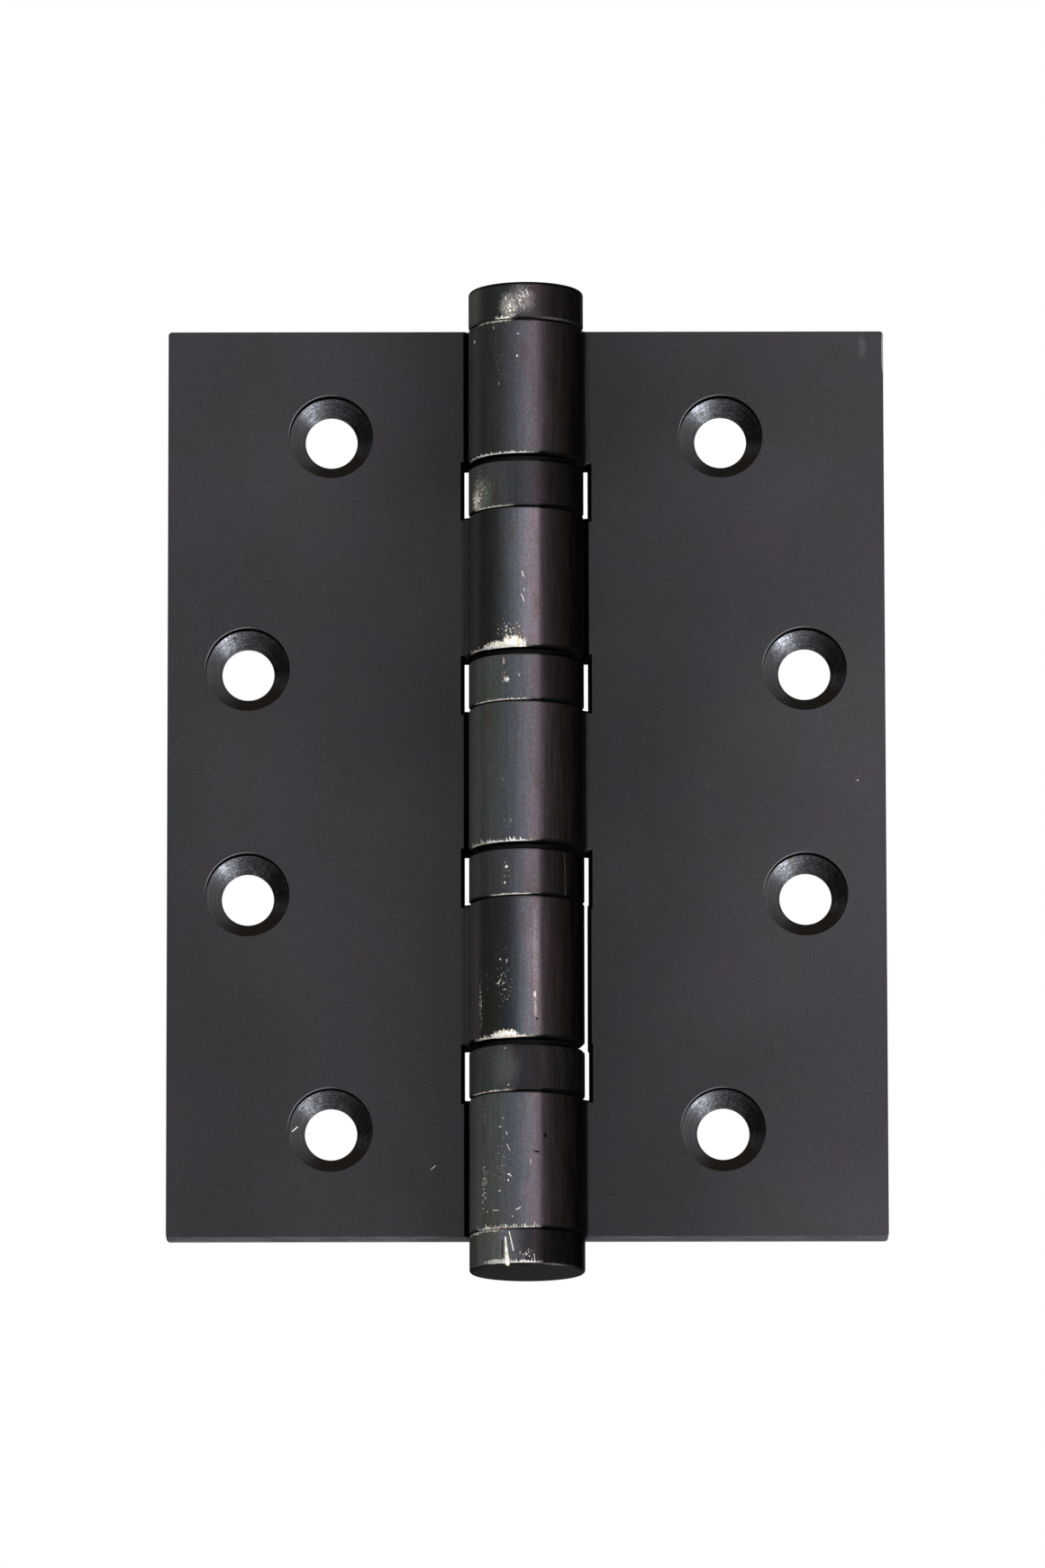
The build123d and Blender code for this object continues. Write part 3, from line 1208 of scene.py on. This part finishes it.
@dataclass(frozen=True)
class CardStop:
    """How bright the studio card is at one side of the hinge."""

    azimuth_deg: float
    level: float
    tint: Colour


def reflected_card(name: str, vertices: np.ndarray, faces: np.ndarray) -> FinishGraph:
    """Builds a staged card that only reflections see.

    Args:
        name: the card's name.
        vertices: its corners.
        faces: its faces.
    Returns:
        The graph of the card's material, still to be lit.
    """
    item = mesh_object(name, vertices, faces)
    item.visible_camera = False
    item.visible_diffuse = False
    item.visible_transmission = False
    item.visible_shadow = False
    graph = FinishGraph(f"{name}_glow")
    item.data.materials.append(graph.material)
    log.info("%s built", name)
    return graph


@dataclass
class GradedCard:
    """A studio card that only reflections see: most of an upright cylinder round the hinge, unevenly lit."""

    stops: Sequence[CardStop] = (
        CardStop(-150.0, 0.40, colour(1.00, 1.00, 0.88)),
        CardStop(-115.0, 0.42, colour(1.00, 1.00, 0.88)),
        CardStop(-92.0, 0.45, colour(0.99, 1.00, 0.89)),
        CardStop(-56.0, 0.60, colour(0.98, 1.00, 0.94)),
        CardStop(-25.0, 1.12, colour(0.96, 0.98, 1.05)),
        CardStop(-8.0, 1.80, colour(1.01, 0.96, 1.05)),
        CardStop(4.0, 2.25, colour(1.04, 0.95, 1.04)),
        CardStop(24.0, 2.05, colour(1.07, 0.94, 1.01)),
        CardStop(28.0, 0.50, colour(1.08, 0.95, 0.98)),
        CardStop(48.0, 0.19, colour(1.15, 0.98, 0.90)),
        CardStop(82.0, 0.075, colour(1.25, 1.00, 0.80)),
        CardStop(130.0, 0.028, colour(1.30, 1.00, 0.70)),
        CardStop(150.0, 0.011, colour(1.30, 1.00, 0.70)),
    )
    radius: float = 1.5
    low: float = -0.35
    high: float = 1.8
    columns: int = 160
    brightest: float = 2.5

    def build(self) -> None:
        """Builds the card: x = r sin a, y = -r cos a for the angles a between its sides, at two heights."""
        angles = np.radians(np.linspace(self.stops[0].azimuth_deg, self.stops[-1].azimuth_deg, self.columns))
        row = np.stack([self.radius * np.sin(angles), -self.radius * np.cos(angles)], axis=1)
        lower = np.column_stack([row, np.full(self.columns, self.low)])
        upper = np.column_stack([row, np.full(self.columns, self.high)])
        first = np.arange(self.columns - 1)
        faces = np.stack([first, first + 1, first + 1 + self.columns, first + self.columns], axis=1)
        graph = reflected_card("graded_card", np.concatenate([lower, upper]), faces)
        graph.glow(self._ramp(graph), self.brightest)

    def _ramp(self, graph: FinishGraph) -> Field:
        """Light that changes with the azimuth from stop to stop.

        Args:
            graph: the card's material.
        Returns:
            The light's colour, as a share of the brightest.
        """
        ramp = graph.add("ValToRGB", {0: graph.place.angle_deg * (1.0 / FULL_TURN_DEG) + 0.5})
        elements = ramp.socket.node.color_ramp.elements
        while len(elements) < len(self.stops):
            elements.new(0.5)
        for element, stop in zip(elements, self.stops):
            element.position = stop.azimuth_deg / FULL_TURN_DEG + 0.5
            element.color = colour(*(stop.level / self.brightest * channel for channel in stop.tint[:3]))
        return ramp


@dataclass
class FlatCard:
    """A level rectangle that only reflections see."""

    name: str
    x_span: Span
    y_span: Span
    height: float
    level: float

    def build(self) -> None:
        """Builds the card from its four corners, with an even glow."""
        (left, right), (front, back) = self.x_span, self.y_span
        corners = np.array([[left, front], [right, front], [right, back], [left, back]])
        vertices = np.column_stack([corners, np.full(4, self.height)])
        reflected_card(self.name, vertices, np.array([[0, 1, 2, 3]])).glow(colour(1.0, 1.0, 1.0), self.level)


def direction(azimuth_deg: float, elevation_deg: float) -> Vector:
    """The unit vector from the hinge to a side: azimuth 0 is the front, positive to the right."""
    a, e = math.radians(azimuth_deg), math.radians(elevation_deg)
    return Vector((math.sin(a) * math.cos(e), -math.cos(a) * math.cos(e), math.sin(e)))


@dataclass
class SoftBox:
    """A soft light that faces the hinge from a given side, positive azimuths to the right of the camera."""

    name: str
    azimuth_deg: float
    elevation_deg: float
    distance: float
    size: Span
    watts: float
    tint: Triple
    seen_in_metal: bool = True

    def build(self) -> None:
        """Hangs the light at its distance, turned to the hinge and hidden from the camera."""
        data = bpy.data.lights.new(self.name, "AREA")
        data.shape = "RECTANGLE"
        data.size, data.size_y = self.size
        data.energy = self.watts
        data.color = self.tint
        lamp = bpy.data.objects.new(self.name, data)
        away = direction(self.azimuth_deg, self.elevation_deg)
        lamp.location = away * self.distance
        lamp.rotation_euler = (-away).to_track_quat("-Z", "Y").to_euler()
        lamp.visible_camera = False
        lamp.visible_glossy = self.seen_in_metal
        bpy.context.scene.collection.objects.link(lamp)
        log.info("%s built", self.name)


@dataclass
class Studio:
    """White surround, pale floor, soft lights, cards that the metal reflects, and the camera."""

    lights: Sequence[SoftBox] = (
        SoftBox("key_softbox", 5.0, 6.0, 2.3, (1.75, 2.4), 36.0, (1.0, 0.98, 1.0), seen_in_metal=False),
        SoftBox("low_right_softbox", 60.0, -38.0, 1.0, (0.45, 0.45), 12.0, (0.95, 0.97, 1.0)),
    )
    cards: Sequence[FlatCard] = (
        FlatCard("dark_ceiling", (-2.0, 2.0), (-2.0, 2.0), 1.85, 0.05),
        FlatCard("low_left_card", (-1.1, -0.12), (-0.03, 0.9), -0.80, 2.2),
        FlatCard("low_front_left_card", (-1.1, -0.12), (-0.6, -0.03), -0.80, 0.15),
        FlatCard("low_middle_card", (-0.12, 0.28), (-0.6, 0.9), -0.80, 0.6),
        FlatCard("low_right_card", (0.28, 1.1), (-0.6, 0.9), -0.80, 2.2),
    )
    floor_height: float = -0.95
    floor_half: float = 6.0
    floor_tint: Colour = colour(0.82, 0.82, 0.82)
    floor_roughness: float = 0.9
    ambient: Colour = colour(0.55, 0.55, 0.56)
    image_height_px: int = 1740
    focal_px: float = 14542.0
    sensor_mm: float = 36.0
    view_depth: float = 50.0
    distance: float = 1.807
    elevation_deg: float = -10.4
    azimuth_deg: float = -0.05
    roll_deg: float = -0.1
    aim: Triple = (-0.00056, 0.0, -0.00053)

    def build(self) -> None:
        """Builds the surround, floor, lights, cards and camera."""
        bpy.context.scene.view_settings.view_transform = "Standard"
        self._surround()
        self._floor()
        GradedCard().build()
        for piece in (*self.lights, *self.cards):
            piece.build()
        self._camera()
        log.info("studio built")

    def _surround(self) -> None:
        """White for camera, glossy and transmission rays, and a softer ambient for the rest."""
        world = bpy.data.worlds.new("studio_surround")
        bpy.context.scene.world = world
        world.use_nodes = True
        nodes, links = world.node_tree.nodes, world.node_tree.links
        nodes.clear()
        white, soft = nodes.new("ShaderNodeBackground"), nodes.new("ShaderNodeBackground")
        white.inputs["Color"].default_value = colour(1.0, 1.0, 1.0)
        soft.inputs["Color"].default_value = self.ambient
        path = nodes.new("ShaderNodeLightPath")
        seen = path.outputs["Is Camera Ray"]
        for ray in ("Is Glossy Ray", "Is Transmission Ray"):
            either = nodes.new("ShaderNodeMath")
            either.operation = "MAXIMUM"
            links.new(seen, either.inputs[0])
            links.new(path.outputs[ray], either.inputs[1])
            seen = either.outputs[0]
        choice = nodes.new("ShaderNodeMixShader")
        links.new(seen, choice.inputs[0])
        links.new(soft.outputs[0], choice.inputs[1])
        links.new(white.outputs[0], choice.inputs[2])
        links.new(choice.outputs[0], nodes.new("ShaderNodeOutputWorld").inputs["Surface"])

    def _floor(self) -> None:
        """A pale floor well below the hinge."""
        side = self.floor_half * np.array([[-1, -1], [1, -1], [1, 1], [-1, 1]], float)
        vertices = np.column_stack([side, np.full(4, self.floor_height)])
        item = mesh_object("floor", vertices, np.array([[0, 1, 2, 3]]))
        graph = FinishGraph("pale_floor")
        graph.feed(graph.shader, {"Base Color": self.floor_tint, "Roughness": self.floor_roughness})
        item.data.materials.append(graph.material)

    def _camera(self) -> None:
        """The camera at the photograph's angle, below the hinge and looking up a little."""
        data = bpy.data.cameras.new("camera")
        data.sensor_width = self.sensor_mm
        data.lens = self.focal_px * self.sensor_mm / self.image_height_px
        data.clip_end = self.view_depth
        camera = bpy.data.objects.new("camera", data)
        away = direction(self.azimuth_deg, self.elevation_deg)
        roll = Matrix.Rotation(math.radians(self.roll_deg), 3, "Z")
        turn = (-away).to_track_quat("-Z", "Y").to_matrix() @ roll
        camera.matrix_world = Matrix.Translation(away * self.distance + Vector(self.aim)) @ turn.to_4x4()
        bpy.context.scene.collection.objects.link(camera)
        bpy.context.scene.camera = camera


# Each film's stretches below carry painted light and shade by angle round the barrel.
FRAME_KNUCKLES = BarrelFinish(
    BarrelFilm((
        PaintedLight(44.4, 63.6, 0.62, 0.80, painted_sheen=0.9),
        PaintedLight(-10.0, 10.0, 1.25, 0.92, painted_sheen=1.35),
        PaintedLight(-63.6, -44.4, 1.50, 0.98, 0.80, painted_sheen=1.3),
    ), roughness=0.25),
    Wear(
        patches=(
            Patch(-7.7, 61.3, 0.16, 0.08, 0.5),
            Patch(-8.7, 58.2, 0.12, 0.16, 0.6),
            Patch(-34.1, 62.4, 0.10, 0.22, 0.4),
            Patch(-63.4, 61.1, 0.22, 0.25, 0.5),
            Patch(-27.7, 54.4, 0.10, 0.14, 0.3),
            Patch(-30.0, 57.0, 1.8, 5.5, 0.35, 0.2, 1.6, -0.75),
            Patch(-24.0, -1.5, 1.4, 2.6, 0.45, 0.2, 1.6, -0.75),
            Patch(-22.0, -7.0, 2.2, 2.2, 0.50, 0.2, 1.6, -0.70),
            Patch(-48.0, -57.4, 0.80, 5.6, 0.70, 0.4, 1.5, -0.15),
            Patch(-47.5, -47.4, 0.50, 2.2, 0.35, 0.4, 1.2, 0.0),
            Patch(-26.0, -55.0, 3.0, 7.0, 0.50, 0.2, 1.6, -0.65),
            Patch(-24.6, -48.3, 0.10, 0.10, 0.7),
            Patch(-18.3, -56.1, 0.14, 0.12),
            Patch(-16.6, -56.3, 0.10, 0.10, 0.8),
            Patch(-19.0, -56.9, 0.10, 0.16, 0.9),
            Patch(-28.4, -58.3, 0.13, 0.13, 0.9),
            Patch(-15.1, -61.9, 0.10, 0.10, 0.7),
            Patch(3.4, -54.4, 0.08, 0.55, 0.15),
        ),
        rims=(
            Rim(63.5, -35.0, 24.0, 0.50, Edge.METAL_BELOW),
            Rim(44.5, -40.0, 56.0),
            Rim(-9.9, -38.0, 52.0, flare_mm=0.6),
            Rim(-63.5, -24.0, 42.0, flare_mm=1.1),
        ),
        scratches=(
            Scratch(-29.0, -49.5, -26.6, -49.4, 0.06),
            Scratch(-21.2, -50.2, -20.0, -50.6, 0.06, 0.8),
            Scratch(-20.4, -51.9, -17.4, -52.8, 0.05, 0.9),
            Scratch(-36.1, -60.9, -29.5, -61.0, 0.06),
            Scratch(-10.9, -61.0, -6.7, -60.7, 0.06),
        ),
        pits=(
            Patch(18.0, -50.8, 0.30, 0.40, 0.9, 0.8),
            Patch(10.1, -53.0, 0.38, 0.12, 0.9, 0.8),
        ),
    ),
)
DOOR_KNUCKLES = BarrelFinish(
    BarrelFilm((
        PaintedLight(17.2, 37.2, 0.40, 1.28, painted_sheen=0.75),
        PaintedLight(-37.2, -17.2, 0.42, 1.06, painted_sheen=0.95, span_deg=(-20.0, 3.0)),
    ), roughness=0.20, left=colour(0.079, 0.074, 0.071)),
    Wear(
        patches=(
            Patch(-14.0, 17.6, 1.70, 1.20, 1.0, 0.5, 0.45),
            Patch(-31.0, 17.4, 2.10, 0.80, 1.0, 0.5, 0.3),
            Patch(-17.0, 19.6, 2.60, 2.00, 0.75, 0.2, 1.6, -0.30),
            Patch(-23.0, -36.9, 1.90, 0.85, 1.0, 0.5, 0.3),
            Patch(8.2, -27.5, 0.40, 7.0, 0.05, 0.6, 0.6),
            Patch(7.9, -31.2, 0.18, 0.40, 0.4, 0.4),
            Patch(8.2, -33.2, 0.18, 1.3, 0.16, 0.6),
            Patch(-53.5, -32.3, 0.45, 4.2, 0.60, 0.2, 1.5, 0.0),
            Patch(-24.0, -29.5, 2.2, 7.0, 0.55, 0.2, 1.6, -0.60),
            Patch(-27.6, -26.2, 0.10, 0.12, 0.8),
            Patch(-20.2, -26.4, 0.10, 0.12, 0.6),
        ),
        rims=(
            Rim(17.3, -40.0, 50.0, flare_mm=0.4),
            Rim(-37.1, -30.0, 42.0, flare_mm=0.4),
        ),
        scratches=(
            Scratch(-4.1, 27.8, -2.7, 27.1, 0.06),
            Scratch(-2.4, 25.4, -2.2, 25.1, 0.06, 0.8),
            Scratch(-5.1, 24.6, -1.9, 23.6, 0.05),
            Scratch(-30.4, -29.6, -27.0, -29.1, 0.07),
        ),
        pits=(Patch(9.8, -34.6, 0.16, 0.16, 1.0, 0.2),),
    ),
)
SHELLS = {
    1: BarrelFinish(
        BarrelFilm((PaintedLight(37.0, 44.6, 1.20, 0.40, 0.40, painted_sheen=1.2),), roughness=0.34),
        Wear((Patch(-60.0, 38.4, 1.1, 1.6, 0.85, 0.6, 1.2, 0.65),
              Patch(-53.0, 39.0, 1.7, 2.2, 0.13, 0.3, 0.5, 1.0, 0.5),
              Patch(-54.0, 39.6, 2.2, 3.0, 0.7, 0.2, 1.6, -0.25)),
             (Rim(37.1, -40.0, 30.0, 0.26, start_mm=0.04),)),
    ),
    2: BarrelFinish(
        BarrelFilm((PaintedLight(9.8, 17.4, 1.45, 0.92, 0.60, painted_sheen=1.1),), roughness=0.28),
        Wear((Patch(-20.1, 12.8, 0.34, 0.30, 0.8, 0.5, 0.8),
              Patch(-23.4, 15.4, 0.14, 0.6, 0.4, 0.9),
              Patch(-22.0, 13.5, 1.4, 3.2, 0.5, 0.2, 1.6, -0.55)),
             (Rim(9.9, -32.0, 40.0, 0.26, start_mm=0.04),)),
    ),
    3: BarrelFinish(
        BarrelFilm((PaintedLight(-17.4, -9.8, 0.85, 0.92, 0.60),), roughness=0.26),
        Wear((Patch(-20.4, -13.4, 0.14, 0.24, 0.9, 0.8),
              Patch(-22.2, -15.6, 0.13, 0.18, 0.8, 0.8),
              Patch(-21.0, -14.0, 0.9, 3.0, 0.5, 0.2, 1.6, -0.55)),
             (Rim(-17.3, -18.0, 26.0, 0.26, start_mm=0.04),),
             (Scratch(40.5, -11.2, 42.0, -17.0, 0.12, 0.12),)),
    ),
    4: BarrelFinish(
        BarrelFilm((PaintedLight(-44.6, -37.0, 1.05, 0.22, 0.35, painted_sheen=0.8),), roughness=0.38),
        # The first patch, faint and soft at the left front, is a painted highlight laid as bare metal.
        Wear((Patch(-22.0, -41.3, 1.6, 2.6, 0.05, 0.3, 0.0, 1.0, 0.8),
              Patch(-18.6, -43.7, 0.10, 0.12, 0.6),
              Patch(-22.7, -38.6, 0.14, 0.10, 0.6)),
             (Rim(-44.5, -44.0, 34.0, 0.26, start_mm=0.04),)),
    ),
}
TOP_TIP = BarrelFinish(
    BarrelFilm((
        PaintedLight(60.0, 68.2, 0.50, 0.45, 0.45, painted_sheen=1.6),
        PaintedLight(68.2, 70.0, 0.25, 0.25, 0.25, painted_sheen=0.5),
    ), roughness=0.38),
    Wear(
        patches=(
            Patch(-17.0, 65.2, 1.20, 1.70, 0.26, 0.40, 0.4, 1.0, 0.4),
            Patch(-6.0, 66.2, 1.70, 1.60, 0.12, 0.40, 0.4, 1.0, 0.5),
            Patch(-17.0, 65.1, 1.40, 1.80, 1.00, 0.70, 1.4, 0.00),
            Patch(-5.0, 66.4, 1.70, 1.60, 0.90, 0.70, 1.4, -0.25),
        ),
        rims=(Rim(63.5, -23.0, 11.0, 0.45),),
        scratches=(
            Scratch(-3.4, 67.2, -1.0, 66.4, 0.06, 0.8),
            Scratch(0.4, 67.5, 2.4, 66.8, 0.06, 0.7),
            Scratch(-7.0, 66.0, -4.8, 65.1, 0.06, 0.7),
            Scratch(-2.6, 65.4, -0.8, 64.8, 0.05, 0.6),
        ),
    ),
    shaded_ends=False,
)
BOTTOM_TIP = BarrelFinish(
    BarrelFilm((
        PaintedLight(-68.3, -60.0, 1.80, 0.28, 0.15, span_deg=(-24.0, 0.0)),
        PaintedLight(-70.0, -68.3, 0.20, 0.20, 0.20, painted_sheen=0.25),
    ), roughness=0.38),
    Wear(
        patches=(
            Patch(-32.0, -68.0, 2.0, 0.28, 0.6, 0.6, 0.5),
            Patch(-1.0, -67.2, 1.5, 0.9, 0.40, 0.5, 1.6, -0.1),
        ),
        rims=(
            Rim(-63.5, -54.0, 34.0, 0.50, Edge.METAL_BELOW, 0.75),
            Rim(-68.4, -12.0, 30.0, 0.40, strength=0.7, start_mm=0.1, flare_mm=1.1),
        ),
        scratches=(
            Scratch(-22.2, -64.75, -20.2, -68.3, 0.13, 1.0, 3.4),
            Scratch(-18.2, -64.0, -13.9, -66.6, 0.09),
        ),
        pits=(Patch(-25.6, -66.4, 0.10, 1.4, 0.8, 0.3),),
    ),
    shaded_ends=False,
)
FRAME_PLATE = PlateFinish(Wear(
    patches=(
        Patch(49.5, 60.8, 0.11, 3.2, 0.30, 0.3),
        Patch(46.7, 61.3, 0.50, 1.5, 0.025, 0.6, 0.3, 1.0, 0.5),
        Patch(45.7, 0.1, 0.10, 0.10, 0.8),
    ),
))
DOOR_PLATE = PlateFinish(Wear(
    scratches=(Scratch(-32.3, -48.4, -31.6, -47.7, 0.09), Scratch(-13.2, -54.1, -12.6, -53.6, 0.05, 0.6)),
))


def main() -> None:
    """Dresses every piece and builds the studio."""
    logging.basicConfig(level=logging.INFO, format="%(message)s")
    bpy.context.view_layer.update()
    Leaf("frame_leaf", FRAME_KNUCKLES, FRAME_PLATE).dress()
    Leaf("door_leaf", DOOR_KNUCKLES, DOOR_PLATE).dress()
    for number, shell in SHELLS.items():
        Bearing(number, shell).dress()
    Pin().dress()
    Tip("top_tip", TOP_TIP).build()
    Tip("bottom_tip", BOTTOM_TIP).build()
    Studio().build()


if __name__ == "__main__":
    main()
